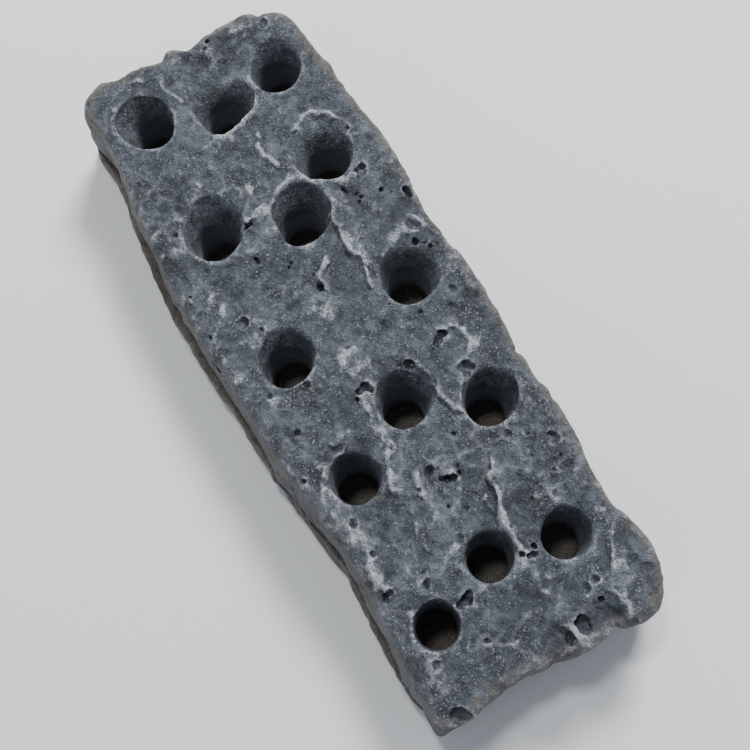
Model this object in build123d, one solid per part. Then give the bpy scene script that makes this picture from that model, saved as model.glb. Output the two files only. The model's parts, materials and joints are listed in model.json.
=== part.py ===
from build123d import *

import os

# A perforated aquarium stone: one slab of dark cement rock, poured in two lifts, with fourteen round
# sockets that reach down into the lower one. Millimetres, +Z up. The origin is at the middle of the slab's footprint,
# on the face it rests on. +X runs along the slab and the rough, blunt end is at -X.

# ---- driving dimensions ----
LENGTH = 203.2
WIDTH = 76.0
THICKNESS = 33.0

SEAM_Z = 11.0  # height of the cold joint between the two lifts
BASE_FULL_Z = 5.0  # height at which the base lift bulges furthest
RIM_Z = 29.0  # height at which the top edge starts to round over
RIM_INSET = 3.5  # how far the top edge rounds in
FOOT_INSET = 1.5  # the underside is this much smaller all round than the bulge
BASE_SHOULDER = 1.2  # the base lift draws in this much at the joint
FACE_DRAFT = 0.3  # the face lift is this much wider at the joint than at its rim

SOCKET_R = 5.6  # a socket takes the stem of an 11 mm frag plug
SOCKET_FLOOR_Z = 5.0  # the sockets are blind, and stop this far above the underside
DISH_R = 8.2  # a socket's mouth is worn into a dish of this radius
DISH_DEPTH = 5.0

# Sockets as (x, y), in three staggered rows along the slab. They were cored by hand, so no row is
# quite straight or evenly spaced.
FRONT_ROW = [(-82.0, -17.0), (-44.0, -18.0), (-3.0, -18.5), (33.5, -18.5), (76.0, -19.5)]
MIDDLE_ROW = [(-75.0, 2.0), (-35.5, 4.5), (22.5, 2.5), (68.5, 1.0)]
BACK_ROW = [(-78.5, 21.0), (-47.5, 19.5), (-6.0, 21.0), (33.5, 22.0), (73.0, 20.5)]
SOCKETS = FRONT_ROW + MIDDLE_ROW + BACK_ROW

# Outline of the face lift at its rim, as (x, y), anticlockwise from the front left corner.
FACE_OUTLINE = [
    (-93.0, -30.3),
    (-70.0, -32.0),
    (-48.0, -35.0),
    (-15.0, -35.3),
    (15.0, -34.3),
    (35.0, -32.5),
    (52.0, -31.0),
    (70.0, -32.2),
    (90.0, -33.0),
    (97.2, -31.2),
    (97.0, -20.0),
    (96.4, -5.0),
    (98.0, 8.0),
    (98.2, 20.0),
    (99.2, 29.0),
    (93.0, 36.0),
    (80.0, 37.0),
    (68.0, 35.4),
    (48.0, 36.8),
    (28.0, 36.0),
    (6.0, 37.0),
    (-16.0, 36.0),
    (-34.0, 36.6),
    (-62.0, 35.3),
    (-84.0, 33.2),
    (-94.0, 31.0),
    (-98.3, 24.0),
    (-99.2, 8.0),
    (-99.8, -8.0),
    (-100.8, -20.0),
    (-98.6, -28.0),
]

# Outline of the base lift where it bulges furthest, stretched below to the overall length and width.
# Its flash stands out past the face lift, most of all along the front.
BASE_OUTLINE = [
    (-92.0, -33.0),
    (-70.0, -34.5),
    (-48.0, -37.9),
    (-15.0, -38.0),
    (15.0, -37.2),
    (35.0, -35.3),
    (52.0, -33.4),
    (70.0, -35.0),
    (90.0, -35.3),
    (100.2, -34.0),
    (100.2, -20.0),
    (99.0, -5.0),
    (100.6, 10.0),
    (99.6, 20.0),
    (100.8, 29.0),
    (94.0, 36.6),
    (80.0, 37.9),
    (68.0, 36.6),
    (48.0, 37.8),
    (28.0, 37.2),
    (6.0, 37.8),
    (-16.0, 37.2),
    (-34.0, 37.6),
    (-62.0, 36.2),
    (-84.0, 34.2),
    (-95.0, 31.6),
    (-100.0, 24.0),
    (-100.6, 8.0),
    (-101.0, -8.0),
    (-101.4, -20.0),
    (-98.8, -30.0),
]

# Bubble pits in the top face, as (x, y, radius).
PITS = [
    (11.0, 21.0, 1.8),
    (21.8, 21.8, 1.7),
    (13.5, 10.0, 1.3),
    (12.0, -4.5, 2.2),
    (43.5, 22.0, 1.2),
    (50.0, 32.0, 1.8),
    (61.0, 18.0, 1.1),
    (62.0, 25.0, 1.2),
    (54.0, 10.5, 1.8),
    (44.5, 3.5, 2.3),
    (40.3, -0.5, 1.2),
    (30.0, -5.5, 1.2),
    (58.0, -3.5, 1.4),
    (85.5, -10.0, 1.3),
    (85.0, -24.5, 1.2),
    (62.0, -26.0, 1.3),
    (42.5, -24.0, 1.4),
    (13.5, -25.5, 1.3),
    (-39.5, 27.0, 1.6),
    (-29.0, 31.5, 1.3),
]

# Hollows that break through the end face at +X, as (x, y, z, radius).
END_HOLLOWS = [(97.5, -26.0, 31.0, 3.2), (97.5, 13.5, 31.5, 3.8)]


def section(outline, z, inset=0.0):
    """A level slice of the slab: a smooth closed outline, drawn in by the same amount all round."""
    x_scale = 1 - 2 * inset / LENGTH
    y_scale = 1 - 2 * inset / WIDTH
    points = [(x * x_scale, y * y_scale, z) for x, y in outline]
    return Wire(Edge.make_spline(points, periodic=True))


def full_size(outline):
    """The outline moved and stretched so that its smooth curve has the slab's length and width."""
    box = section(outline, 0.0).bounding_box()
    middle = box.center()
    return [
        ((x - middle.X) * LENGTH / box.size.X, (y - middle.Y) * WIDTH / box.size.Y)
        for x, y in outline
    ]


def base_lift():
    """The lower lift, with a bulging edge and a flat underside."""
    outline = full_size(BASE_OUTLINE)
    return Solid.make_loft(
        [
            section(outline, 0.0, FOOT_INSET),
            section(outline, BASE_FULL_Z),
            section(outline, SEAM_Z, BASE_SHOULDER),
        ],
        ruled=True,
    )


def face_lift():
    """The upper lift, with a drafted side and a rounded rim."""
    return Solid.make_loft(
        [
            section(FACE_OUTLINE, SEAM_Z, -FACE_DRAFT),
            section(FACE_OUTLINE, RIM_Z),
            section(FACE_OUTLINE, THICKNESS, RIM_INSET),
        ],
        ruled=True,
    )


def socket_cores():
    """The round cores of all sockets, from their floors to past the top face."""
    height = THICKNESS + 1 - SOCKET_FLOOR_Z
    return [Pos(x, y, SOCKET_FLOOR_Z) * extrude(Circle(SOCKET_R), height) for x, y in SOCKETS]


def socket_dishes():
    """The cones that open each socket's mouth."""
    middle = THICKNESS - DISH_DEPTH / 2
    return [Pos(x, y, middle) * Cone(SOCKET_R, DISH_R, DISH_DEPTH) for x, y in SOCKETS]


def pit_cutters():
    """The bubble pits of the top face and the hollows at the end."""
    pits = [Pos(x, y, THICKNESS) * Sphere(r) for x, y, r in PITS]
    hollows = [Pos(x, y, z) * Sphere(r) for x, y, z, r in END_HOLLOWS]
    return pits + hollows


def cut(solid, cutters):
    """The solid with each cutter taken away in turn."""
    for cutter in cutters:
        solid = solid - cutter
    return solid


os.makedirs("parts", exist_ok=True)

nodes = {
    "base_lift": cut(base_lift(), socket_cores()),
    "face_lift": cut(face_lift(), socket_cores() + socket_dishes() + pit_cutters()),
}
for name, shape in nodes.items():
    export_step(shape, f"parts/{name}.step")
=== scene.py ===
import json
import math

import bpy
import numpy as np
import openvdb
from mathutils import Matrix, Vector


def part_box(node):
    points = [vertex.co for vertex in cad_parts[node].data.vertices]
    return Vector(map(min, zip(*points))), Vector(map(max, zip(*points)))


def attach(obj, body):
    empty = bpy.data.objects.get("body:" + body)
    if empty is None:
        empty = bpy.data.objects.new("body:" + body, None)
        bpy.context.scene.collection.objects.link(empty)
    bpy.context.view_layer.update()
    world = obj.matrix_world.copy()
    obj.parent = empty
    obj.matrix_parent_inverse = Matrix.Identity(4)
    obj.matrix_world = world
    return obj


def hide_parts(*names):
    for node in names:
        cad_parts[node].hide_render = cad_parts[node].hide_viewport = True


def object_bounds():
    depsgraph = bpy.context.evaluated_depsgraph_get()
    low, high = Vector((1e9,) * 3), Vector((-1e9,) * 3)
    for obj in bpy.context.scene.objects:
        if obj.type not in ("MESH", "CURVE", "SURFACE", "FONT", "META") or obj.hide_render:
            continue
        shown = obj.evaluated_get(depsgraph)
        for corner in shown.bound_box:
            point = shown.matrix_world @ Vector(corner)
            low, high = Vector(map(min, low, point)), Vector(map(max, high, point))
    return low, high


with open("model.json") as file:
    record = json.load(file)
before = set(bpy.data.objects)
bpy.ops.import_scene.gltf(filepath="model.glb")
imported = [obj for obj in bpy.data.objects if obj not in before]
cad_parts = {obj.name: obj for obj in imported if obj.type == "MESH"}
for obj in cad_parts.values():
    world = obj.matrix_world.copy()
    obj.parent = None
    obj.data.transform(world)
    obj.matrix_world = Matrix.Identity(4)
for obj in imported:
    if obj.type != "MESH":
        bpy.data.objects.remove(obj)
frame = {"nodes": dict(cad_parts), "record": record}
cad_low, cad_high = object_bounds()

# The slab is cast rock, so it is made as a volume. Each lift starts from its CAD solid's own
# distance field, then the weathered top, the crests, the socket mouths, the bubbles and the ragged
# edge are carved into it, and the result is meshed. All volume work is in millimetres in the
# frame's axes.
MM = 0.001
VOXEL = 0.42
MARGIN = 3.0  # the grid reaches this far past the CAD's box
BAND = 6.0  # distances are kept this far from a surface
SEED = 7

THICKNESS = cad_high.z / MM
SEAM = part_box("face_lift")[0].z / MM
BORES = [m for m in frame["record"]["mounts"] if m["kind"] == "bore"]
SOCKETS = {
    m["name"]: (m["pos_m"][0] / MM, m["pos_m"][1] / MM, m["dims"]["r_mm"]) for m in BORES
}
SOCKET_FLOOR = min(m["pos_m"][2] / MM - m["dims"]["length_mm"] / 2 for m in BORES)
FACE_OUTLINE_Z = 24.0  # a lift's outline is read from its CAD solid at this height
BASE_OUTLINE_Z = 5.0

# ---- the grid ----
LOW = np.array([c / MM - MARGIN for c in cad_low])
SHAPE = tuple(int(math.ceil((h / MM + MARGIN - l) / VOXEL)) for h, l in zip(cad_high, LOW))
AXES = [
    (low + VOXEL * np.arange(count, dtype=np.float32)).astype(np.float32)
    for low, count in zip(LOW, SHAPE)
]
X, Y, Z = AXES[0][:, None, None], AXES[1][None, :, None], AXES[2][None, None, :]
X2, Y2 = X[:, :, 0], Y[:, :, 0]
rng = np.random.default_rng(SEED)


# ---- noise ----
NOISE_GAIN = 1.9  # brings smoothed noise back to about -1 to 1


def bspline_weights(coords, scale, count):
    """Weights that blend a row of lattice values, scale apart, smoothly at each coordinate."""
    place = (coords - coords.min()) / scale
    cell = np.floor(place).astype(int)
    t = place - cell
    blend = ((1 - t) ** 3, 3 * t**3 - 6 * t**2 + 4, -3 * t**3 + 3 * t**2 + 3 * t + 1, t**3)
    weights = np.zeros((len(coords), count), np.float32)
    for step, value in enumerate(blend):
        weights[np.arange(len(coords)), cell + step] = value / 6
    return weights


def noise(*scales):
    """Smooth noise over the grid, about -1 to 1. Two scales give a map in plan, three a volume."""
    counts = [int((a.max() - a.min()) / s) + 5 for a, s in zip(AXES, scales)]
    out = rng.uniform(-1, 1, counts).astype(np.float32)
    for a, s, n in zip(AXES, scales, counts):
        out = np.tensordot(out, bspline_weights(a, s, n), axes=(0, 1))
    return out * NOISE_GAIN


# ---- shapes in plan ----
def smooth_step(value, start, end):
    """0 where a value is at or under start and 1 from end on, smooth between."""
    t = np.clip((value - start) / (end - start), 0, 1)
    return t * t * (3 - 2 * t)


def blob(x, y, radius):
    """1 at a point, falling smoothly to 0 at radius."""
    return 1 - smooth_step(np.hypot(X2 - x, Y2 - y), 0, radius)


def line_distance(points):
    """Distance in plan to a chain of points, signed: positive on its left."""
    best = np.full(SHAPE[:2], np.inf, np.float32)
    sign = np.ones_like(best)
    for (x0, y0), (x1, y1) in zip(points, points[1:]):
        dx, dy = x1 - x0, y1 - y0
        t = np.clip(((X2 - x0) * dx + (Y2 - y0) * dy) / (dx * dx + dy * dy), 0, 1)
        d = np.hypot(X2 - x0 - t * dx, Y2 - y0 - t * dy)
        side = np.where(dx * (Y2 - y0) - dy * (X2 - x0) > 0, 1.0, -1.0)
        nearer = d < best
        best = np.where(nearer, d, best)
        sign = np.where(nearer, side, sign)
    return best * sign


# ---- the top face ----
# Crests of crust as (points, height, width on the left, width on the right, paleness). A narrow
# side is a broken edge, a wide one a slope.
CRESTS = [
    (
        [(-42.0, 15.5), (-36.0, 15.5), (-32.0, 13.0), (-28.0, 11.5), (-22.0, 11.8), (-17.0, 13.5)],
        1.9, 6.0, 1.3, 1.0,
    ),
    ([(-17.0, 13.5), (-13.5, 12.5), (-10.5, 11.8)], 1.2, 3.0, 1.2, 1.0),
    ([(-44.5, -1.5), (-42.3, -4.5), (-41.5, -7.5), (-42.8, -10.5)], 2.2, 0.8, 6.0, 1.0),
    ([(-51.0, -3.0), (-46.5, -3.5), (-44.0, -2.0)], 1.0, 2.5, 1.5, 0.9),
    ([(-48.0, 9.5), (-46.5, 3.5), (-43.0, -1.5)], 1.3, 2.0, 4.0, 1.0),
    ([(-73.2, 7.5), (-71.3, 4.0), (-70.0, 0.5), (-69.6, -3.0)], 2.2, 7.0, 0.8, 0.9),
    (
        [(-71.0, 4.0), (-67.5, 6.3), (-65.5, 7.3), (-62.0, 6.0), (-58.5, 5.5), (-54.5, 6.8)],
        1.1, 2.6, 1.2, 1.0,
    ),
    ([(-58.5, 26.5), (-61.0, 22.5), (-60.5, 18.5)], 1.0, 1.4, 4.5, 0.9),
    ([(-41.5, 22.5), (-43.0, 18.5), (-47.0, 12.8)], 1.8, 5.0, 0.7, 0.8),
    ([(-22.5, 31.2), (-18.5, 33.0), (-14.8, 35.5)], 1.3, 1.5, 1.4, 1.0),
    ([(-19.5, 33.0), (-19.5, 27.0), (-18.0, 23.8)], 1.1, 2.0, 4.0, 0.7),
    ([(-23.5, 4.5), (-21.5, 1.0), (-19.8, -0.3), (-16.8, 0.8)], 1.2, 1.8, 1.2, 1.0),
    ([(9.0, 22.0), (10.0, 25.5), (13.5, 27.2), (17.0, 28.0), (19.5, 25.0)], 1.1, 2.4, 1.6, 0.5),
    ([(15.5, 10.2), (19.5, 11.2), (25.0, 12.2), (28.5, 12.6), (31.0, 14.2)], 1.5, 5.0, 0.9, 0.8),
    (
        [(15.5, -5.0), (19.0, -6.0), (25.0, -7.0), (31.5, -8.2), (36.0, -10.0), (40.0, -10.6)],
        2.1, 6.0, 1.8, 0.8,
    ),
    (
        [(22.0, -16.5), (23.0, -21.0), (25.0, -23.0), (28.0, -26.0), (33.0, -27.2)],
        1.1, 1.6, 2.4, 0.7,
    ),
    ([(2.0, -1.5), (2.6, -4.6), (5.5, -5.8), (8.0, -4.0), (8.2, -1.5)], 1.4, 1.8, 1.2, 0.6),
    (
        [
            (50.0, 13.0), (53.5, 11.5), (57.5, 8.8), (62.5, 8.2),
            (65.5, 9.6), (70.5, 9.9), (74.0, 8.8),
        ],
        2.6, 7.0, 1.6, 0.5,
    ),
    ([(74.0, 8.8), (79.5, 8.4), (85.0, 8.9), (95.0, 9.2)], 1.7, 7.0, 2.4, 0.15),
    ([(47.0, -25.0), (54.5, -26.8), (59.5, -26.8), (62.5, -25.0)], 1.5, 4.0, 2.0, 0.6),
    ([(40.0, -2.5), (47.0, -4.2), (53.0, -4.4), (60.0, -4.8)], 1.2, 1.2, 3.5, 0.2),
    ([(44.0, -8.6), (52.0, -10.6), (58.0, -11.0)], 1.4, 3.0, 1.6, 0.2),
    ([(76.0, 35.0), (82.0, 28.0), (91.0, 22.5), (98.0, 24.5)], 2.0, 8.0, 1.6, 0.0),
    ([(88.5, -4.8), (88.0, -8.0), (86.0, -10.0)], 1.0, 3.0, 1.5, 0.0),
    ([(-95.5, -9.5), (-96.5, -14.0), (-96.0, -18.5)], 0.9, 1.8, 2.0, 0.0),
    ([(-92.0, -8.8), (-89.0, -7.6), (-85.5, -6.2)], 1.1, 2.0, 2.2, 0.0),
    ([(-83.8, 9.2), (-83.5, 4.0)], 1.2, 1.6, 1.6, 0.4),
    ([(-27.0, -25.0), (-24.0, -27.0), (-21.0, -30.0)], 0.9, 1.6, 1.6, 0.5),
    ([(66.0, -30.0), (72.0, -22.5), (80.0, -26.0), (90.0, -27.0)], 0.8, 4.0, 3.0, 0.0),
]
# Broad swellings and hollows as (x, y, radius, rise).
SWELLINGS = [
    (3.5, -3.0, 7.0, 0.9), (-11.0, -1.5, 4.5, 1.0), (-42.0, 20.5, 4.0, 0.8),
    (-40.3, 26.8, 6.5, 1.0), (88.0, 30.0, 13.0, 1.4), (-95.0, 24.0, 11.0, 1.0),
    (-90.0, -28.0, 10.0, 0.8), (-62.0, -12.0, 14.0, 0.8), (45.5, -25.5, 6.0, 0.9),
    (14.0, -30.0, 10.0, 0.7), (50.0, 24.0, 13.0, 0.7), (-26.0, 30.0, 8.0, -1.8),
    (-30.0, -6.0, 13.0, -1.6), (-86.0, 3.0, 12.0, -3.2), (-78.0, 5.0, 8.0, -1.4),
    (-95.0, 1.5, 7.0, -2.4), (-90.0, 12.0, 5.0, -0.8), (-94.0, 25.0, 4.0, -0.9),
    (-53.0, 21.0, 9.5, -4.0), (-10.0, 27.0, 10.5, -3.2), (-48.0, -14.0, 9.0, -2.6),
    (-9.0, -16.0, 8.0, -2.0), (-83.0, 25.0, 7.0, -1.6), (15.0, 5.0, 8.0, -2.0),
    (21.0, 9.5, 5.0, -1.6), (16.0, 21.0, 4.5, -1.1), (27.0, 27.0, 8.0, -2.2),
    (27.5, -15.0, 7.0, -1.6), (47.0, -10.5, 8.0, -1.8), (52.0, 5.5, 7.0, -1.8),
    (26.0, -10.5, 6.0, -1.2), (30.0, -24.0, 5.0, -0.8), (60.0, 4.5, 7.0, -2.2),
    (80.0, 4.0, 6.0, -1.6), (93.0, 4.0, 9.0, -2.6), (84.0, 17.0, 6.0, -0.7),
    (67.0, 27.0, 8.0, -0.8), (94.5, 19.5, 6.5, -3.0), (86.0, -6.5, 5.0, -1.2),
    (66.0, -8.0, 8.0, 0.9), (72.0, -26.0, 5.0, -0.7), (-58.0, -21.0, 5.0, -0.9),
    (-72.0, -22.0, 4.0, -0.5), (90.0, -20.0, 8.0, -0.6),
]
TOP_MEAN = 31.5  # height of the worn face between its crests and hollows
TOP_LIMIT = THICKNESS + 0.3  # the highest crests are worn off level here
LIP_HEIGHT = 0.2  # a dimple's thin lip stands up this far
LIP_WIDTH = 0.6


def crest_map():
    """Height of the crests over the plan, and how pale their crust is there.

    Noise makes each crest wander, rise and fall, and lose its crust in places.
    """
    rise = np.zeros(SHAPE[:2], np.float32)
    near = np.zeros(SHAPE[:2], np.float32)
    wander = 1.3 * noise(6.0, 6.0) + 0.8 * noise(2.6, 2.6) + 0.4 * noise(1.3, 1.3)
    strength = np.clip(0.85 + 0.5 * noise(7.0, 7.0) + 0.3 * noise(2.2, 2.2), 0.2, 1.4)
    shown = np.clip(0.45 + 1.0 * noise(4.5, 4.5) + 0.5 * noise(1.8, 1.8), 0, 1.2)
    flaky = np.clip(0.25 + 1.3 * noise(1.2, 1.2), 0, 1)
    for points, height, left, right, pale in CRESTS:
        looseness = min(1.0, 0.35 + 0.125 * max(left, right))
        d = line_distance(points) + wander * looseness
        slope = np.where(d > 0, 1 - d / left, 1 + d / right)
        slope = np.clip(slope, 0, 1) * strength
        rise = np.maximum(rise, height * slope * (0.6 + 0.4 * slope))
        thin = np.clip(1 - np.abs(d) / 0.9, 0, 1)
        wide = np.clip(1 - np.abs(d) / 2.0, 0, 1) * flaky
        near = np.maximum(near, np.maximum(thin, wide) * shown * pale)
    return rise, near


def top_height(rise, near):
    """Height of the weathered top face over the plan, and where its small ridges have a sharp top.

    A ridge runs along each line where a noise crosses 0, and is a vein of crust where it is sharp.
    """
    broad = 0.40 * noise(46.0, 46.0) + 0.55 * noise(17.0, 17.0) + 0.75 * noise(7.5, 7.5)
    rough = np.clip(0.80 + 0.6 * noise(20.0, 20.0), 0.3, 1.5)
    wide, middling, fine = (np.abs(noise(scale, scale)) for scale in (9.0, 4.2, 2.1))
    ridges = 0.65 - (0.70 * wide + 0.95 * middling + 0.50 * fine)
    vein = np.maximum(1 - wide / 0.04, np.maximum(1 - middling / 0.08, 0.9 - fine / 0.13))
    patchy = np.clip(0.35 + 1.3 * noise(8.0, 8.0) + 0.6 * noise(2.4, 2.4), 0, 1)
    patchy = patchy * (0.3 + 0.7 * smooth_step(X2, -80, -52))
    vein = np.clip(vein, 0, 1) * np.clip(patchy + near, 0, 1)
    flow = (1.2 * noise(26.0, 5.0) + 0.7 * noise(12.0, 2.6)) * smooth_step(X2, 15.0, 45.0)
    grain = 0.20 * noise(1.7, 1.7) + 0.18 * noise(0.9, 0.9)
    height = TOP_MEAN + broad + flow + rough * ridges + rise + grain * (1 + 2.0 * near)
    for x, y, radius in DIMPLES:
        lip = 1 - np.abs(np.hypot(X2 - x, Y2 - y) - radius * 1.05) / LIP_WIDTH
        height = height + LIP_HEIGHT * np.clip(lip, 0, 1)
    for x, y, radius, change in SWELLINGS:
        height = height + change * blob(x, y, radius)
    return np.minimum(height, TOP_LIMIT), vein


# ---- the sockets ----
# Each socket's mouth as (the way it is drawn out in degrees, how far, chords), where a chord is a
# straight-broken side of the mouth as (its direction in degrees, its distance from the axis).
MOUTHS = {
    "socket_front_1": (195, 4.8, []),
    "socket_front_2": (160, 6.5, []),
    "socket_front_3": (150, 4.4, [(0, 5.7)]),
    "socket_front_4": (150, 2.8, []),
    "socket_front_5": (140, 1.0, []),
    "socket_middle_1": (150, 7.0, [(14, 5.0)]),
    "socket_middle_2": (145, 5.4, [(5, 6.2), (-92, 5.9)]),
    "socket_middle_3": (140, 4.8, []),
    "socket_middle_4": (150, 2.4, []),
    "socket_back_1": (150, 4.6, [(0, 6.0)]),
    "socket_back_2": (165, 6.0, [(-32, 5.0)]),
    "socket_back_3": (135, 5.5, []),
    "socket_back_4": (135, 4.0, []),
    "socket_back_5": (120, 3.2, []),
}
FUNNEL_FLOOR = 13.0  # a mouth's drawn-out side starts to lean at this height
FUNNEL_TOP = 31.0
FLARE = (23.0, 32.5)  # the heights between which it flares out more
CHORD_FLOOR = 20.0  # a mouth's straight-broken sides stop at this height
RIM_WEAR = 0.5  # a mouth's whole rim is worn back this far
RIM_ROUNDING = 1.0
FLOOR_ROUNDING = 1.4


def carve_sockets(field):
    """The solid with its sockets cored out, each with a mouth worn out on one side."""
    uneven = 0.16 * noise(4.0, 4.0, 3.0) + 0.08 * noise(1.6, 1.6, 1.6)
    floor = SOCKET_FLOOR + (0.5 * noise(4.0, 4.0) + 0.3 * noise(1.5, 1.5))[:, :, None]
    for name, (x, y, radius) in SOCKETS.items():
        angle, reach, chords = MOUTHS[name]
        span = radius + reach + 4
        i = np.flatnonzero(np.abs(AXES[0] - x) < span)
        j = np.flatnonzero(np.abs(AXES[1] - y) < span)
        box = (slice(i[0], i[-1] + 1), slice(j[0], j[-1] + 1), slice(None))
        dx, dy = X[box[0]] - x, Y[:, box[1]] - y
        away = np.arctan2(dy, dx) - math.radians(angle)
        side = (0.5 + 0.5 * np.cos(away)) ** 2.0
        lean = 0.50 * np.clip((Z - FUNNEL_FLOOR) / (FUNNEL_TOP - FUNNEL_FLOOR), 0, 1)
        lean = lean + 0.60 * smooth_step(Z, *FLARE)
        wide = radius + reach * side * lean + RIM_WEAR * smooth_step(Z, 28, 32.5)
        core = wide - np.hypot(dx, dy)
        for chord, offset in chords:
            c, s = math.cos(math.radians(chord)), math.sin(math.radians(chord))
            flat = offset - (dx * c + dy * s)
            core = np.minimum(core, np.where(Z > CHORD_FLOOR, flat, core))
        core = -smooth_max(-core - uneven[box], floor[box[:2]] - Z, FLOOR_ROUNDING)
        field[box] = smooth_max(field[box], core, RIM_ROUNDING)
    return field


# ---- the volume ----
def cad_distance(node):
    """Signed distance to a CAD node's solid, in millimetres, negative inside."""
    mesh = frame["nodes"][node].data
    mesh.calc_loop_triangles()
    points = np.empty(len(mesh.vertices) * 3, np.float32)
    mesh.vertices.foreach_get("co", points)
    triangles = np.empty(len(mesh.loop_triangles) * 3, np.int32)
    mesh.loop_triangles.foreach_get("vertices", triangles)
    grid = openvdb.FloatGrid.createLevelSetFromPolygons(
        points.reshape(-1, 3) / MM,
        triangles=triangles.reshape(-1, 3).astype(np.uint32),
        transform=grid_transform(),
        halfWidth=BAND / VOXEL,
    )
    out = np.empty(SHAPE, np.float32)
    grid.copyToArray(out)
    return out


def grid_transform():
    """Where the grid's cells are, in millimetres."""
    matrix = [[VOXEL, 0, 0, 0], [0, VOXEL, 0, 0], [0, 0, VOXEL, 0], [*LOW.tolist(), 1]]
    return openvdb.createLinearTransform(matrix)


SOCKET_FILL = 5.4  # rock this near a socket's wall counts as inside the outline


def outline_distance(node, z):
    """Distance in plan to a CAD node's outline at a height, with its sockets filled in."""
    level = int(round((z - LOW[2]) / VOXEL))
    side = cad_distance(node)[:, :, level]
    for x, y, radius in SOCKETS.values():
        side = np.minimum(side, np.hypot(X2 - x, Y2 - y) - radius - SOCKET_FILL)
    return side[:, :, None]


def smooth_max(a, b, reach):
    """The larger of two fields, rounded over where they are within reach of each other."""
    h = np.clip(0.5 + 0.5 * (a - b) / reach, 0, 1)
    return a * h + b * (1 - h) + reach * h * (1 - h)


def carve_ball(field, x, y, z, radius, squash=1.0):
    """Takes a ragged bubble out of the solid. Squash is its height as a share of its width."""
    reach = radius + 1.5
    spans = [
        slice(max(int((c - reach - l) / VOXEL), 0), max(int((c + reach - l) / VOXEL) + 2, 0))
        for c, l in zip((x, y, z), LOW)
    ]
    part = field[tuple(spans)]
    if not part.size:
        return
    dx, dy, dz = X[spans[0]] - x, Y[:, spans[1]] - y, (Z[:, :, spans[2]] - z) / squash
    ball = radius - np.sqrt(dx * dx + dy * dy + dz * dz)
    ball = ball + min(0.5, 0.38 * radius) * RAGGED[tuple(spans)]
    field[tuple(spans)] = np.maximum(part, ball)


RAGGED = noise(1.3, 1.3, 1.3)  # makes the walls of bubbles uneven

# Bubbles that broke through the top face, as (x, y, radius).
BUBBLES = [
    (11.0, 21.6, 1.3), (11.8, 20.2, 1.3), (12.5, 18.9, 1.0), (22.0, 22.6, 1.5),
    (23.4, 21.6, 1.4), (24.4, 21.0, 1.0), (22.6, 23.6, 1.0), (21.6, 20.8, 1.0),
    (13.7, 9.7, 1.5), (14.3, -2.6, 1.0), (12.8, -3.6, 1.4), (13.4, -5.2, 1.3),
    (14.6, -6.8, 0.8), (2.6, 19.8, 0.6), (14.2, -25.2, 0.9), (14.0, -24.6, 0.6),
    (26.4, -30.0, 0.7), (30.2, -5.8, 0.8), (30.9, -5.9, 0.7), (35.5, 10.2, 0.7),
    (43.2, 6.7, 0.5), (44.9, 6.3, 0.5), (45.4, 4.2, 1.0), (44.6, 2.6, 1.3), (43.9, 1.2, 1.0),
    (45.8, 26.7, 0.6), (54.7, 31.1, 0.6), (71.2, 12.6, 0.9), (72.8, 11.6, 1.0),
    (72.7, 10.2, 0.9), (71.4, 9.0, 0.9), (91.2, 20.1, 0.9), (51.2, -1.0, 0.6),
    (62.5, -25.4, 0.9), (62.7, -26.6, 0.9), (73.8, -9.2, 1.8), (74.4, -11.2, 1.2),
    (73.0, -8.2, 1.3), (85.4, -10.2, 0.8), (65.2, -16.1, 0.9), (66.2, -16.4, 0.7),
    (64.6, -15.4, 0.5), (-40.8, 27.2, 1.3), (-39.3, 26.6, 1.2), (-38.8, 25.4, 0.9),
    (-40.6, 25.6, 0.9), (-29.6, 34.6, 1.1), (-28.2, 34.5, 1.0), (-32.8, 28.6, 0.8),
    (-35.3, 22.1, 0.6), (-33.8, 22.9, 0.7), (-32.8, 21.6, 0.6), (-38.2, 19.6, 0.7),
    (-37.2, 19.9, 0.6), (-15.3, 29.2, 1.0), (-12.3, 32.0, 0.7), (-13.8, 31.2, 0.6),
    (-17.0, 0.3, 1.1), (-21.1, 0.4, 0.6), (-33.5, -10.8, 0.7), (-32.5, -10.8, 0.7),
    (-27.4, -3.2, 0.6), (-26.8, -4.3, 0.6), (-15.2, -19.2, 0.6), (-20.8, -32.4, 0.7),
    (-33.6, -31.5, 0.5), (-43.0, -8.4, 1.1), (-43.6, -9.0, 0.8), (-42.8, -7.0, 0.7),
    (-81.8, 2.1, 0.9), (-96.3, 7.6, 0.7), (-84.8, -1.4, 0.6), (-53.5, 29.8, 0.7),
    (-53.0, 28.8, 0.6),
]
# Shallow bubbles that show their floor, with a thin lip, as (x, y, radius).
DIMPLES = [
    (2.0, 30.3, 1.2), (4.4, -17.0, 1.6), (2.0, -26.4, 0.8), (23.4, -17.4, 1.1),
    (23.4, -19.0, 1.1), (40.6, -0.4, 1.5), (43.0, 21.8, 1.4), (50.1, 31.7, 1.9),
    (57.2, 27.4, 0.8), (62.5, 24.7, 1.2), (61.0, 18.1, 1.1), (53.8, 10.4, 1.4),
    (55.2, 9.9, 1.6), (56.6, 9.5, 1.2), (64.2, 10.1, 0.9), (65.2, 10.1, 0.8), (82.2, 13.6, 0.9),
    (86.2, 21.2, 1.1), (59.7, -2.9, 1.3), (57.7, -9.1, 0.8), (84.8, -14.6, 0.8),
    (68.2, -23.0, 0.8), (51.9, -24.1, 0.9), (83.7, -24.2, 1.4), (42.4, -24.3, 1.4),
    (43.7, -5.6, 0.8), (-20.2, 30.5, 2.0), (-18.6, 31.6, 1.4), (-19.5, -22.9, 1.7),
    (-93.5, 25.5, 1.6), (-88.8, -14.0, 0.9), (0.0, 9.6, 1.2), (86.8, 17.4, 2.0),
    (94.0, -3.0, 0.8),
]
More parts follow.
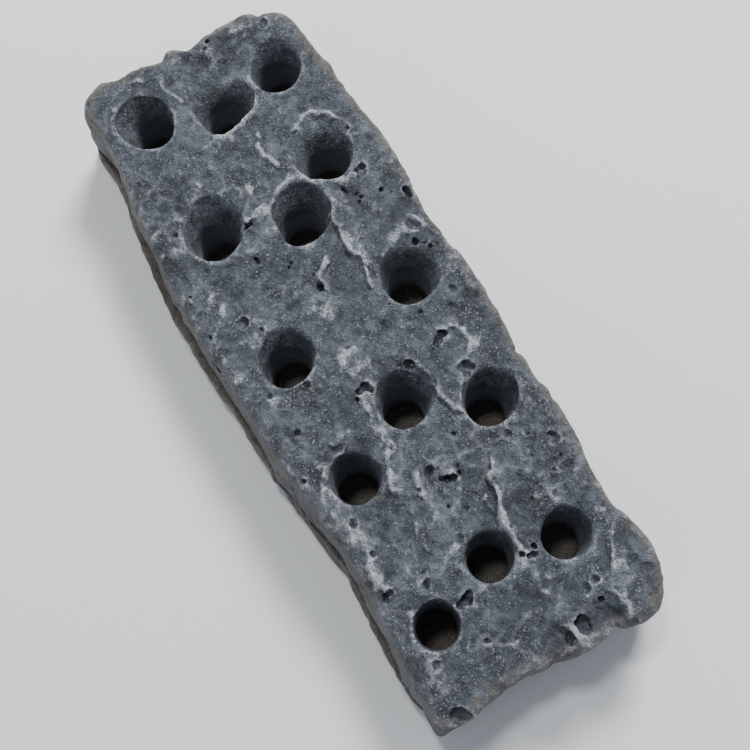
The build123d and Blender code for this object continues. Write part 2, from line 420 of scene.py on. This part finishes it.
# Hollows that break out through the ends and sides, as (x, y, z, radius).
CAVES = [
    (97.7, -26.3, 31.0, 2.6), (98.8, -25.2, 30.0, 2.2), (93.7, 12.6, 29.5, 2.2),
    (95.5, 12.2, 29.5, 2.4), (96.4, 15.6, 30.5, 1.8), (95.6, 8.0, 29.5, 2.0),
    (24.6, 36.2, 31.0, 1.4),
]
SMALL_BUBBLES = 300
SIDE_BUBBLES = 260


def side_place():
    """A random place near the slab's outline, in plan."""
    if rng.random() < 0.25:
        return rng.choice([-98.5, 98.5]) + rng.uniform(-1.2, 1.2), rng.uniform(-32, 34)
    return rng.uniform(-96, 97), rng.choice([-35.0, 36.5]) + rng.uniform(-1.5, 1.5)


def carve_bubbles(field, height):
    """Takes the listed bubbles, and many small ones, out of the face lift."""

    def surface(x, y):
        i = int(round((x - LOW[0]) / VOXEL))
        j = int(round((y - LOW[1]) / VOXEL))
        return float(height[i, j])

    for x, y, radius in BUBBLES:
        carve_ball(field, x, y, surface(x, y) - 0.5 * radius, radius, 1.4)
    for x, y, radius in DIMPLES:
        carve_ball(field, x, y, surface(x, y) + 0.25 * radius, radius)
    for x, y, z, radius in CAVES:
        carve_ball(field, x, y, z, radius)
    for _ in range(SIDE_BUBBLES):
        x, y = side_place()
        z = rng.uniform(SEAM, THICKNESS - 3)
        carve_ball(field, x, y, z, 0.3 + 0.8 * rng.random() ** 2)
    for _ in range(SMALL_BUBBLES):
        x, y = rng.uniform(-97, 97), rng.uniform(-34, 36)
        radius = 0.35 + 0.5 * rng.random() ** 4
        carve_ball(field, x, y, surface(x, y) + 0.2 * radius, radius)


def side_relief():
    """How far the sides stand in or out, over the volume: folds along the slab, and roughness."""
    folds = 0.55 * noise(26.0, 26.0, 4.5) + 0.40 * noise(8.0, 8.0, 3.2)
    crumbs = 0.9 * np.abs(noise(6.0, 6.0, 5.0)) + 0.65 * np.abs(noise(2.6, 2.6, 2.4)) - 0.60
    return folds + crumbs + 0.14 * noise(1.5, 1.5, 1.5)


def joint_groove():
    """The pitted groove that runs round the sides where the two lifts meet."""
    depth = np.clip(0.30 + 0.8 * noise(7.0, 7.0, 4.0), 0, 1.3)
    return depth * np.exp(-(((Z - SEAM) / 1.3) ** 2))


# Lumps and bites of the outline as (x, y, radius, how far the side moves out).
EDGE_LUMPS = [
    (-98.5, -1.0, 4.0, 2.2), (-98.0, 9.5, 3.2, 1.9), (-96.0, 5.0, 2.6, -1.6),
    (-97.0, 25.5, 3.0, -1.2), (-98.5, 20.0, 3.5, 0.8), (-99.5, -23.0, 6.0, 0.8),
    (-96.0, -30.0, 12.0, 3.0), (-68.0, -34.0, 18.0, 0.9), (-98.0, -7.0, 5.0, -0.9),
    (99.0, 12.0, 5.0, 1.2), (98.0, 3.0, 4.0, -0.9), (98.5, 20.0, 4.0, -1.4),
    (100.5, -34.0, 5.0, 1.8), (92.0, -34.0, 4.0, -0.8), (19.0, -36.5, 5.0, 1.0),
    (25.0, 36.0, 2.0, -1.0), (33.0, 35.5, 6.0, -0.8), (46.0, 37.0, 7.0, 0.9),
    (72.0, 36.0, 6.0, -0.9), (84.0, 37.0, 7.0, 0.9), (54.0, 36.8, 3.0, 0.5),
    (-74.0, 34.5, 3.0, 0.6),
]


def edge_lumps():
    """How far the outline is moved out, over the plan."""
    return sum(out * blob(x, y, radius) for x, y, radius, out in EDGE_LUMPS)[:, :, None]


def front_slope():
    """How far the face lift's front leans back towards its top."""
    return 1.9 * smooth_step(Z, 13.0, 31.0) * smooth_step(-Y, 22.0, 33.0)


def end_overhang():
    """How far the face lift stands out past the base at +X, where its end broke off ragged."""
    return 1.1 * smooth_step(X, 88.0, 98.0)


FACE_OUT = 0.7  # the face's side stands out this far from its CAD solid, on average
BASE_OUT = 0.4
SIDE_ROUNDING = 3.0  # how gently the top face turns over into the sides


def face_field(height):
    """Distance field of the upper lift."""
    side = outline_distance("face_lift", FACE_OUTLINE_Z) - FACE_OUT - edge_lumps()
    side = side + side_relief() + joint_groove() + front_slope() - end_overhang()
    field = smooth_max(side, (Z - height[:, :, None]) * 0.9, SIDE_ROUNDING)
    field = carve_sockets(field)
    carve_bubbles(field, height)
    return np.maximum(field, SEAM - Z)


def base_field():
    """Distance field of the lower lift, with its ragged edge."""
    side = outline_distance("base_lift", BASE_OUTLINE_Z) - BASE_OUT - 0.6 * edge_lumps()
    step_out = 0.8 * smooth_step(-Y, 22.0, 33.0) * smooth_step(-X, -10.0, 30.0)
    side = side - step_out + 1.7 * end_overhang()
    flash = 1.2 * np.clip(np.abs(noise(9.0, 9.0, 5.0)) - 0.15, 0, 1)
    flash = flash + 0.3 * np.abs(noise(2.6, 2.6, 2.0))
    foot = 0.9 * smooth_step(-Z, -2.5, 0)
    field = carve_sockets(side + 0.9 * side_relief() + flash + joint_groove() + foot)
    for _ in range(SIDE_BUBBLES):
        x, y = side_place()
        carve_ball(field, 1.01 * x, 1.02 * y, rng.uniform(1.5, 10.5), 0.4 + 0.9 * rng.random() ** 2)
    return np.maximum(field, np.maximum(-Z, Z - SEAM))


def sample(array, points):
    """Values of a volume or a plan map at points, by linear interpolation."""
    place = [(points[:, a] - LOW[a]) / VOXEL for a in range(array.ndim)]
    cell = [np.clip(np.floor(p).astype(int), 0, n - 2) for p, n in zip(place, array.shape)]
    part = [np.clip(p - c, 0, 1) for p, c in zip(place, cell)]
    out = np.zeros(len(points), np.float32)
    for corner in range(2**array.ndim):
        steps = [(corner >> a) & 1 for a in range(array.ndim)]
        weight = np.prod([p if s else 1 - p for p, s in zip(part, steps)], axis=0)
        out += weight * array[tuple(c + s for c, s in zip(cell, steps))]
    return out


def box_blur(volume, reach, axes=3):
    """The volume averaged over a box, this many voxels each way along each of its first axes."""
    for axis in range(axes):
        pad = [(reach + 1, reach) if a == axis else (0, 0) for a in range(3)]
        total = np.cumsum(np.pad(volume, pad, mode="edge"), axis=axis, dtype=np.float32)
        top = np.take(total, range(2 * reach + 1, total.shape[axis]), axis=axis)
        bottom = np.take(total, range(0, total.shape[axis] - 2 * reach - 1), axis=axis)
        volume = (top - bottom) / (2 * reach + 1)
    return volume


def hollowness(field, reach):
    """How much rock is within reach of each point: over 0.5 in hollows, under it on edges."""
    rock = np.clip(0.5 - field / VOXEL, 0, 1)
    return box_blur(rock, max(int(round(reach / VOXEL)), 1))


# ---- maps for the materials ----
HOLLOW_REACH = 1.3  # how far around a place its hollowness is judged
DIP_REACH = 5.0
# Pale smears of lime as (x, y, radius, strength).
SMEARS = [
    (3.4, -4.6, 2.6, 1.0), (2.6, -2.4, 2.0, 0.8), (6.5, -0.5, 4.0, 0.5), (9.5, -2.6, 2.0, 0.6),
    (-10.6, -1.8, 2.6, 1.0), (-8.0, -0.8, 3.0, 0.7), (-13.0, -4.5, 2.0, 0.4),
    (-41.8, 20.3, 2.4, 1.0), (-39.5, 20.6, 2.0, 0.7), (-34.2, 13.0, 2.0, 0.9),
    (-43.2, -10.3, 2.0, 1.0), (-44.5, -2.0, 2.6, 0.7), (59.5, 9.3, 3.4, 0.9),
    (54.0, 11.2, 1.8, 0.8), (62.2, 8.6, 2.4, 0.7), (82.3, 8.9, 2.2, 0.6), (84.6, 9.3, 1.4, 0.5),
    (45.8, -25.6, 3.4, 0.9), (56.0, -26.6, 3.6, 0.5), (36.3, -10.2, 2.4, 0.6),
    (17.6, -5.8, 2.4, 0.7), (-59.8, 22.5, 2.2, 0.7), (-60.5, 19.0, 2.0, 0.8),
    (-65.0, 7.2, 2.0, 0.8), (-53.0, -2.6, 3.0, 0.8), (4.0, -25.5, 2.2, 0.8),
    (-14.6, -23.5, 3.4, 0.6), (-46.4, -28.8, 2.4, 0.7), (-7.0, -31.0, 3.0, 0.6),
    (-2.0, -29.0, 3.0, 0.6), (-26.4, -25.2, 1.8, 0.7), (-30.0, -27.0, 2.6, 0.5),
    (-19.0, 24.2, 2.0, 0.8), (17.2, 28.2, 2.4, 0.6), (13.0, 27.0, 2.0, 0.4),
    (39.0, 31.0, 2.6, 0.6), (61.0, 28.4, 2.4, 0.5), (54.0, 21.5, 3.0, 0.4),
    (66.5, -28.4, 1.6, 0.6), (72.0, 33.0, 4.0, 0.4), (76.6, -8.3, 1.6, 0.6),
    (-59.5, -14.6, 1.8, 0.7), (-52.0, -28.5, 4.0, 0.5), (-80.0, 31.0, 3.0, 0.5),
    (-96.5, -21.5, 3.0, 0.5), (96.5, 23.5, 3.0, 0.5), (68.0, -14.0, 3.0, 0.3),
    (29.0, -7.6, 4.0, 0.5),
]


def smear_map():
    """Where the stone's face is smeared pale, over the plan."""
    smear = np.zeros(SHAPE[:2], np.float32)
    for x, y, radius, strength in SMEARS:
        smear = np.maximum(smear, strength * blob(x, y, radius))
    return smear


def deep_map():
    """1 well down inside the sockets, over the volume."""
    inside = sum(
        smooth_step(-np.hypot(X2 - x, Y2 - y), -radius - 3.0, -radius - 1.5)
        for x, y, radius in SOCKETS.values()
    )
    return smooth_step(-Z, -26.0, -17.0) * np.minimum(inside, 1)[:, :, None]


def dip_map(height):
    """How far the top face lies under the mean of its surroundings, in mm, over the plan."""
    return box_blur(height[:, :, None], int(DIP_REACH / VOXEL), 2)[:, :, 0] - height


def depth_from_side(node, z):
    """How far inside the outline of a CAD node each place is, over the plan."""
    return -outline_distance(node, z)[:, :, 0]


def material_maps(height, near_crest, vein):
    """The maps that both stones' materials use. Those of the top face fade out under it."""
    near_top = smooth_step(Z - height[:, :, None], -6.0, -2.0)
    plans = {"crest": near_crest, "vein": vein, "smear": smear_map(), "dip": dip_map(height)}
    maps = {label: plan[:, :, None] * near_top for label, plan in plans.items()}
    maps["deep"] = deep_map()
    return maps


# ---- meshing ----
def outer_surface(points, polygons):
    """The largest connected surface, without the bubbles that are shut inside the rock."""
    first = np.concatenate([p[:, 0] for p in polygons for _ in range(1, p.shape[1])])
    other = np.concatenate([p[:, corner] for p in polygons for corner in range(1, p.shape[1])])
    label = np.arange(len(points))
    settled = False
    while not settled:
        least = np.minimum(label[first], label[other])
        lower = label.copy()
        np.minimum.at(lower, label[first], least)
        np.minimum.at(lower, label[other], least)
        lower = lower[lower]
        settled = bool((lower == label).all())
        label = lower
    kept = label == np.bincount(label).argmax()
    index = np.cumsum(kept) - 1
    return points[kept], [index[p[kept[p[:, 0]]]] for p in polygons]


def rock_piece(name, node, field, maps):
    """Meshes a distance field as a piece that stands for a CAD node.

    Its maps go onto the mesh as attributes.
    """
    grid = openvdb.FloatGrid(BAND)
    grid.transform = grid_transform()
    grid.copyFromArray(np.ascontiguousarray(np.clip(field, -BAND, BAND)))
    points, triangles, quads = grid.convertToPolygons(0.0, 0.0)
    polygons = [triangles.reshape(-1, 3).astype(int), quads.reshape(-1, 4).astype(int)]
    points, polygons = outer_surface(points, polygons)
    faces = [face[::-1] for group in polygons for face in group.tolist()]
    mesh = bpy.data.meshes.new(name)
    mesh.from_pydata((points * MM).tolist(), [], faces)
    mesh.polygons.foreach_set("use_smooth", [True] * len(mesh.polygons))
    for label, values in maps.items():
        layer = mesh.attributes.new(label, "FLOAT", "POINT")
        layer.data.foreach_set("value", sample(values, points).astype(np.float32))
    mesh.update()
    piece = bpy.data.objects.new(name, mesh)
    bpy.context.scene.collection.objects.link(piece)
    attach(piece, "root")
    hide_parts(node)
    return piece


# ---- materials ----
class Shader:
    """Builds a stone's node tree out of short calls that each return an output socket."""

    def __init__(self, name):
        self.material = bpy.data.materials.new(name)
        self.material.use_nodes = True
        self.tree = self.material.node_tree
        self.surface = self.tree.nodes["Principled BSDF"]
        self.place = self.tree.nodes.new("ShaderNodeTexCoord").outputs["Object"]

    def set(self, socket, value):
        """Links an output to a socket, or gives the socket a plain value."""
        if isinstance(value, bpy.types.NodeSocket):
            self.tree.links.new(value, socket)
        else:
            socket.default_value = value

    def math(self, operation, *values):
        """One arithmetic step on outputs or numbers."""
        node = self.tree.nodes.new("ShaderNodeMath")
        node.operation = operation
        for socket, value in zip(node.inputs, values):
            self.set(socket, value)
        return node.outputs[0]

    def noise(self, size_mm, detail=4.0, roughness=0.6, distortion=0.0):
        """Cloudy noise whose largest blotches are about this size, around 0.5."""
        node = self.tree.nodes.new("ShaderNodeTexNoise")
        self.set(node.inputs["Vector"], self.place)
        node.inputs["Scale"].default_value = 1000 / size_mm
        node.inputs["Detail"].default_value = detail
        node.inputs["Roughness"].default_value = roughness
        node.inputs["Distortion"].default_value = distortion
        return node.outputs["Fac"]

    def specks(self, spacing_mm, radius, share):
        """1 inside scattered round specks and 0 elsewhere; the radius is a part of the spacing."""
        node = self.tree.nodes.new("ShaderNodeTexVoronoi")
        self.set(node.inputs["Vector"], self.place)
        node.inputs["Scale"].default_value = 1000 / spacing_mm
        split = self.tree.nodes.new("ShaderNodeSeparateColor")
        self.tree.links.new(node.outputs["Color"], split.inputs["Color"])
        chosen = self.math("LESS_THAN", split.outputs["Red"], share)
        size = self.math("MULTIPLY", split.outputs["Green"], radius)
        return self.math("MULTIPLY", chosen, self.ramp(node.outputs["Distance"], size, 0.0))

    def threads(self, size_mm, width):
        """1 along the thin wandering lines where a noise crosses its middle, 0 away from them."""
        off = self.math("SUBTRACT", self.noise(size_mm, 2.0, 0.5, 0.8), 0.5)
        return self.ramp(self.math("ABSOLUTE", off), width, 0.0)

    def ramp(self, value, start, end):
        """0 where the value is at start, 1 where it is at end, smooth between."""
        node = self.tree.nodes.new("ShaderNodeMapRange")
        node.interpolation_type = "SMOOTHSTEP"
        self.set(node.inputs["Value"], value)
        self.set(node.inputs["From Min"], start)
        self.set(node.inputs["From Max"], end)
        return node.outputs["Result"]

    def mix(self, share, first, second):
        """Two colours mixed."""
        node = self.tree.nodes.new("ShaderNodeMix")
        node.data_type = "RGBA"
        self.set(node.inputs["Factor"], share)
        self.set(node.inputs["A"], first)
        self.set(node.inputs["B"], second)
        return node.outputs["Result"]

    def attribute(self, name):
        """The value that a mesh holds under this name."""
        node = self.tree.nodes.new("ShaderNodeAttribute")
        node.attribute_name = name
        return node.outputs["Fac"]

    def bump(self, relief, strength, depth_mm):
        """A normal that follows a relief whose 0 to 1 is this deep."""
        node = self.tree.nodes.new("ShaderNodeBump")
        node.inputs["Strength"].default_value = strength
        node.inputs["Distance"].default_value = depth_mm * MM
        self.set(node.inputs["Height"], relief)
        return node.outputs["Normal"]


def rgb(*srgb):
    """A linear colour from sRGB levels of 0 to 255."""
    return [((v / 255 + 0.055) / 1.055) ** 2.4 if v > 10 else v / 255 / 12.92 for v in srgb] + [1.0]


def stone_material(name, dark, mid, pale, crust_colour, painted_socket_light, crust_share):
    """Cast stone: mottled greys with pale crust on edges and crests, pinholes and sandy specks,
    with painted shade in pinholes and hollows, painted light deep in the sockets, a painted bounce
    light on the sides and painted highlights on edges and specks.
    """
    stone = Shader(name)
    hollow, crest, smear = (stone.attribute(n) for n in ("hollow", "crest", "smear"))
    dip, deep, vein = (stone.attribute(n) for n in ("dip", "deep", "vein"))

    clouds = stone.noise(9.0, 8.0, 0.66, 0.4)
    blotch = stone.noise(2.6, 5.0, 0.62, 0.6)
    tone = stone.math("MULTIPLY_ADD", blotch, 0.55, stone.math("MULTIPLY", clouds, 0.75))
    colour = stone.mix(stone.ramp(tone, 0.50, 0.66), dark, mid)
    colour = stone.mix(stone.ramp(tone, 0.62, 0.80), colour, pale)

    # lime crust: an area of it on edges, crests and smears, broken up into threads and flakes; the
    # part on convex edges is also a painted highlight
    edge = stone.math("SUBTRACT", 0.5, hollow)
    area = stone.math("MULTIPLY", stone.noise(11.0, 4.0), 0.9)
    area = stone.math("MULTIPLY_ADD", edge, 2.6, area)
    area = stone.math("MULTIPLY_ADD", crest, 0.75, area)
    area = stone.math("MULTIPLY_ADD", smear, 0.70, area)
    area = stone.math("MULTIPLY_ADD", dip, -0.22, area)
    area = stone.ramp(area, 0.40 - crust_share, 1.45 - crust_share)
    lace = stone.math("MAXIMUM", stone.threads(2.0, 0.055), stone.threads(4.5, 0.032))
    flakes = stone.ramp(stone.noise(1.2, 5.0, 0.75, 0.6), 0.47, 0.60)
    broken = stone.math("MAXIMUM", stone.math("MULTIPLY", lace, 0.9), flakes)
    solid = stone.math("MULTIPLY_ADD", stone.ramp(area, 0.75, 1.0), 0.45, 0.12)
    crust = stone.math("MAXIMUM", broken, solid)
    crust = stone.math("MULTIPLY", stone.ramp(area, 0.05, 0.8), crust)
    crust = stone.math("MULTIPLY_ADD", vein, 0.20, crust)
    frost = stone.ramp(stone.noise(0.9, 5.0, 0.75, 0.4), 0.55, 0.66)
    crust = stone.math("MULTIPLY_ADD", frost, 0.16, crust)
    colour = stone.mix(stone.math("MULTIPLY", crust, 0.85), colour, crust_colour)

    # painted shade in pinholes, bowls and hollows, dark blots of the stone's own tone, then painted
    # light deep in the sockets, a painted warm bounce light on the browner sides, and pale grit
    # partly painted as glints
    # the pinholes' dark tint is painted shade in tiny pits
    pinholes = stone.specks(1.1, 0.34, 0.32)
    # painted shade that darkens the dips of the top face
    bowl_shade = stone.ramp(dip, -0.1, 1.7)
    blots = stone.ramp(stone.noise(1.9, 5.0, 0.7, 0.8), 0.46, 0.36)
    # painted shade in concave places
    shade = stone.ramp(hollow, 0.57, 0.76)
    near_side = stone.ramp(stone.attribute("side"), 2.6, 0.4)
    # a painted warm bounce light that lightens and browns the sides
    side_bounce_light = stone.math("MULTIPLY", near_side, stone.ramp(blotch, 0.34, 0.56))
    sandy = stone.ramp(stone.noise(8.0, 4.0), 0.34, 0.56)
    sandy = stone.math("MULTIPLY", sandy, stone.ramp(dip, 1.3, 0.3))
    # pale sand grains whose brightness is partly painted glints
    grit_and_glints = stone.math("MULTIPLY", stone.ramp(stone.noise(0.55, 2.0, 0.5), 0.57, 0.66), sandy)
    for cover, share, tint in (
        (pinholes, 0.8, rgb(18, 20, 24)),
        (bowl_shade, 0.58, rgb(28, 32, 39)),
        (blots, 0.45, rgb(36, 40, 47)),
        (shade, 0.75, rgb(22, 26, 32)),
        # painted light: the walls and floors well down inside the sockets are lightened
        (deep, 0.8, painted_socket_light),
        (side_bounce_light, 0.55, rgb(98, 92, 86)),
        (grit_and_glints, 0.6, rgb(165, 170, 176)),
    ):
        colour = stone.mix(stone.math("MULTIPLY", cover, share), colour, tint)
    stone.set(stone.surface.inputs["Base Color"], colour)

    stone.set(stone.surface.inputs["Roughness"], stone.math("MULTIPLY_ADD", blotch, 0.5, 0.28))
    stone.set(stone.surface.inputs["Specular IOR Level"], 0.42)

    relief = stone.noise(1.6, 4.0, 0.65)
    for bumps, rise in (
        (stone.noise(0.55, 4.0, 0.7), 0.9), (grit_and_glints, 0.5), (pinholes, -0.8), (crust, 0.35)
    ):
        relief = stone.math("MULTIPLY_ADD", bumps, rise, relief)
    stone.set(stone.surface.inputs["Normal"], stone.bump(relief, 0.9, 1.1))
    return stone.material


# ---- the camera ----
CAMERA_AZIMUTH = 72.6
CAMERA_ELEVATION = 76.3
CAMERA_ROLL = -13.5
CAMERA_DISTANCE = 0.369  # metres
CAMERA_FIELD = 31.65  # degrees across the picture
CAMERA_TARGET = Vector((0.0007, 0.0012, 0.0165))
CAMERA_SHIFT = (0.020, -0.029)
SENSOR = 36.0


def make_camera():
    """A camera that looks down at the slab, turned about its own axis by the roll."""
    azimuth, elevation = math.radians(CAMERA_AZIMUTH), math.radians(CAMERA_ELEVATION)
    back = Vector((
        math.sin(azimuth) * math.cos(elevation),
        -math.cos(azimuth) * math.cos(elevation),
        math.sin(elevation),
    ))
    level = Vector((math.cos(azimuth), math.sin(azimuth), 0))
    upright = back.cross(level)
    roll = math.radians(CAMERA_ROLL)
    right = math.cos(roll) * level + math.sin(roll) * upright
    up = back.cross(right)
    data = bpy.data.cameras.new("camera")
    data.sensor_width = SENSOR
    data.lens = SENSOR / 2 / math.tan(math.radians(CAMERA_FIELD / 2))
    data.shift_x, data.shift_y = CAMERA_SHIFT
    data.clip_start = 0.01
    camera = bpy.data.objects.new("camera", data)
    turn = Matrix((right, up, back)).transposed().to_4x4()
    camera.matrix_world = Matrix.Translation(CAMERA_TARGET + back * CAMERA_DISTANCE) @ turn
    bpy.context.scene.collection.objects.link(camera)
    bpy.context.scene.camera = camera


# ---- the stage ----
FLOOR_HALF = 3.0
FLOOR_COLOUR = (0.62, 0.64, 0.65, 1)
SKY_COLOUR = (0.80, 0.88, 1.0, 1)
SKY_STRENGTH = 0.47
# Square lights as (name, direction it stands in, metres away, metres across, watts, colour).
LIGHTS = [
    ("key", (-0.62, 0.72, 1.10), 1.1, 0.28, 18.5, (1.0, 0.98, 0.95)),
    ("fill", (0.25, -1.0, 0.55), 1.2, 0.8, 2.5, (1.0, 0.97, 0.94)),
    ("overhead", (-0.27, 0.02, 1.0), 1.3, 0.15, 8.0, (1.0, 0.98, 0.95)),
]


def area_light(name, direction, distance, size, watts, colour):
    """A soft square light that faces the slab from a direction."""
    data = bpy.data.lights.new(name, "AREA")
    data.size = size
    data.energy = watts
    data.color = colour
    light = bpy.data.objects.new(name, data)
    place = Vector(direction).normalized() * distance
    light.location = place
    light.rotation_mode = "QUATERNION"
    light.rotation_quaternion = place.to_track_quat("Z", "Y")
    bpy.context.scene.collection.objects.link(light)


def make_stage():
    """A pale floor under soft light that comes mostly from beyond the blunt end."""
    mesh = bpy.data.meshes.new("floor")
    half = FLOOR_HALF
    corners = [(-half, -half, 0), (half, -half, 0), (half, half, 0), (-half, half, 0)]
    mesh.from_pydata(corners, [], [(0, 1, 2, 3)])
    floor = bpy.data.objects.new("floor", mesh)
    material = bpy.data.materials.new("floor")
    material.use_nodes = True
    surface = material.node_tree.nodes["Principled BSDF"]
    surface.inputs["Base Color"].default_value = FLOOR_COLOUR
    surface.inputs["Roughness"].default_value = 0.9
    mesh.materials.append(material)
    bpy.context.scene.collection.objects.link(floor)

    world = bpy.data.worlds.new("world")
    bpy.context.scene.world = world
    world.use_nodes = True
    sky = world.node_tree.nodes["Background"]
    sky.inputs["Color"].default_value = SKY_COLOUR
    sky.inputs["Strength"].default_value = SKY_STRENGTH
    for light in LIGHTS:
        area_light(*light)


make_camera()
make_stage()

rise, near_crest = crest_map()
height, vein = top_height(rise, near_crest)
shared_maps = material_maps(height, near_crest, vein)

face = face_field(height)
face_maps = {
    "hollow": hollowness(face, HOLLOW_REACH),
    "side": depth_from_side("face_lift", FACE_OUTLINE_Z),
    **shared_maps,
}
face_piece = rock_piece("face_rock", "face_lift", face, face_maps)
face_piece.data.materials.append(stone_material(
    "face_stone",
    dark=rgb(36, 40, 47),
    mid=rgb(60, 66, 75),
    pale=rgb(90, 98, 109),
    crust_colour=rgb(205, 211, 219),
    # painted light deep in the sockets, paler than the stone
    painted_socket_light=rgb(126, 131, 141),
    crust_share=0.0,
))

base = base_field()
base_maps = {
    "hollow": hollowness(base, HOLLOW_REACH),
    "side": depth_from_side("base_lift", BASE_OUTLINE_Z),
    **shared_maps,
}
base_piece = rock_piece("base_rock", "base_lift", base, base_maps)
base_piece.data.materials.append(stone_material(
    "base_stone",
    dark=rgb(52, 49, 46),
    mid=rgb(80, 75, 70),
    pale=rgb(104, 98, 92),
    crust_colour=rgb(146, 139, 130),
    # painted light deep in the sockets, paler than the stone
    painted_socket_light=rgb(98, 94, 89),
    crust_share=-0.05,
))
